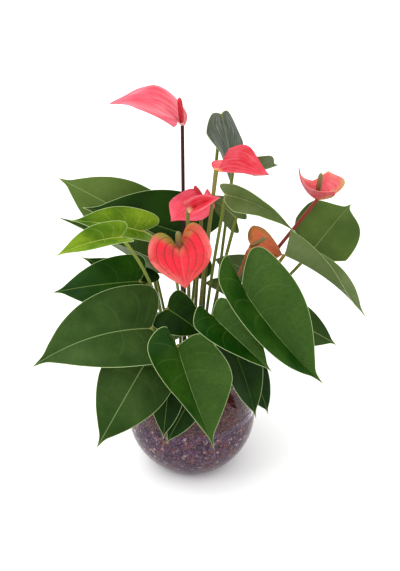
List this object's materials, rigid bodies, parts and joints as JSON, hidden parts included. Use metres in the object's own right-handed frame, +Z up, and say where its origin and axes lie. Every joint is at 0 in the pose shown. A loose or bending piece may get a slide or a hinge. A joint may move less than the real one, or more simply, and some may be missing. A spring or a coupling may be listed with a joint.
{
  "type": "potted anthurium",
  "caption": "Anthurium house plant with heart-shaped leaves and waxy coral-red blooms, growing in dark bark in a round clear glass bowl; decoration for a table, shelf or sill.",
  "frame": {"origin": "centre of the bowl's flat base, on the surface it stands on", "axes": "+Z up, -Y towards the viewer of the picture, +X to the viewer's right"},
  "size_m": [0.3834, 0.2971, 0.4631],
  "materials": {
    "clear_glass": "polished",
    "bark_and_peat": "matte",
    "leaf": "satin",
    "young_leaf": "satin",
    "bloom_stem": "satin",
    "spathe": "gloss",
    "spadix": "satin"
  },
  "bodies": {
    "root": {"glass_bowl": "clear_glass", "soil": "bark_and_peat", "leaf_01": "leaf", "leaf_02": "leaf", "leaf_03": "young_leaf", "leaf_04": "young_leaf", "leaf_05": "leaf", "leaf_06": "leaf", "leaf_07": "leaf", "leaf_08": "leaf", "leaf_09": "leaf", "leaf_10": "leaf", "leaf_11": "leaf", "leaf_12": "leaf", "leaf_13": "leaf", "leaf_14": "leaf", "leaf_15": "leaf", "leaf_16": "leaf", "leaf_17": "leaf", "leaf_18": "leaf", "leaf_19": "leaf", "leaf_20": "leaf", "leaf_21": "leaf", "leaf_22": "leaf", "leaf_23": "leaf", "leaf_24": "leaf", "leaf_25": "leaf", "leaf_26": "leaf", "leaf_27": "leaf", "leaf_28": "leaf", "leaf_29": "leaf", "bloom_a_stem": "bloom_stem", "bloom_a_spathe": "spathe", "bloom_a_spadix": "spadix", "bloom_b_stem": "bloom_stem", "bloom_b_spathe": "spathe", "bloom_b_spadix": "spadix", "bloom_c_stem": "bloom_stem", "bloom_c_spathe": "spathe", "bloom_c_spadix": "spadix", "bloom_d_stem": "bloom_stem", "bloom_d_spathe": "spathe", "bloom_d_spadix": "spadix", "bloom_e_stem": "bloom_stem", "bloom_e_spathe": "spathe", "bloom_e_spadix": "spadix", "bloom_f_stem": "bloom_stem", "bloom_f_spathe": "spathe", "bloom_f_spadix": "spadix", "bloom_g_stem": "bloom_stem", "bloom_g_spathe": "spathe", "bloom_g_spadix": "spadix"}
  },
  "joints": []
}
